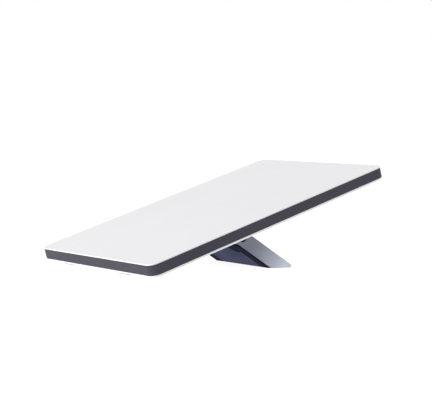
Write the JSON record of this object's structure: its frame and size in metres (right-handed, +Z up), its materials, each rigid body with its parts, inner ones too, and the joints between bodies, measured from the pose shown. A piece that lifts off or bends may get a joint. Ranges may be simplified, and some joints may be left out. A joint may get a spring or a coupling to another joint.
{
  "type": "flat-panel satellite antenna",
  "caption": "Flat rectangular phased-array satellite antenna panel, tilted on a fold-out kickstand with a friction hinge and a latched mount on its back.",
  "frame": {"origin": "on the floor, under the middle of the box round the whole standing antenna", "axes": "+Z up, +X from the low edge to the high edge of the panel, Y across the panel"},
  "size_m": [0.5708, 0.383, 0.2126],
  "materials": {
    "radome_white": "fine satin",
    "spacer_foam": "matte",
    "patch_copper": "satin",
    "board_green": "satin solder mask",
    "chip_black": "matte",
    "thermal_pad": "matte",
    "spreader_alu": "as cast",
    "band_grey": "satin",
    "gasket_black": "matte",
    "cover_white": "satin",
    "screw_steel": "satin",
    "part_black": "matte",
    "can_tin": "satin",
    "connector_ivory": "satin",
    "ceramic_tan": "satin",
    "pad_rubber": "matte",
    "mount_dark": "fine texture",
    "button_grey": "satin",
    "pin_steel": "ground",
    "washer_bronze": "satin",
    "leg_metal": "bead blasted and anodised, satin",
    "strip_black": "matte"
  },
  "bodies": {
    "panel": {"radome": "radome_white", "radome_spacer": "spacer_foam", "patch_array": "patch_copper", "antenna_board": "board_green", "beamformer_chips": "chip_black", "thermal_pads": "thermal_pad", "heat_spreader": "spreader_alu", "side_frame": "band_grey", "cover_gasket": "gasket_black", "back_cover": "cover_white", "cover_screws": "screw_steel", "power_board": "board_green", "board_screws": "screw_steel", "power_components": "part_black", "shield_cans": "can_tin", "board_connector": "connector_ivory", "position_antenna": "ceramic_tan", "cable_socket": "part_black", "socket_seal": "pad_rubber", "vent_plug": "part_black", "rest_bumpers": "pad_rubber", "stop_pads": "pad_rubber", "left_mount_rail": "mount_dark", "right_mount_rail": "mount_dark", "mount_screws": "screw_steel", "kickstand_shoe": "mount_dark", "latch_spring": "pin_steel", "hinge_pins": "pin_steel", "friction_washers": "washer_bronze", "disc_springs": "pin_steel", "lock_nuts": "pin_steel"},
    "latch": {"latch_button": "button_grey"},
    "leg": {"left_cheek": "leg_metal", "right_cheek": "leg_metal", "hinge_bushings": "washer_bronze", "hinge_caps": "strip_black", "web_panel": "leg_metal", "web_screws": "screw_steel", "left_edge_strip": "strip_black", "right_edge_strip": "strip_black", "foot_pads": "pad_rubber", "pull_bar": "leg_metal"}
  },
  "joints": [
    {"name": "leg_fold", "type": "hinge", "parent": "panel", "child": "leg", "pos_m": [0.00702, 0, 0.06735], "axis": [0, -1, 0], "range_deg": [0, 48]},
    {"name": "latch_press", "type": "slide", "parent": "panel", "child": "latch", "axis": [-0.3163, 0, 0.9487], "range_m": [0, 0.003], "stiffness_N_per_m": 600, "springref_m": -0.004, "deforming": ["latch_spring"]}
  ]
}
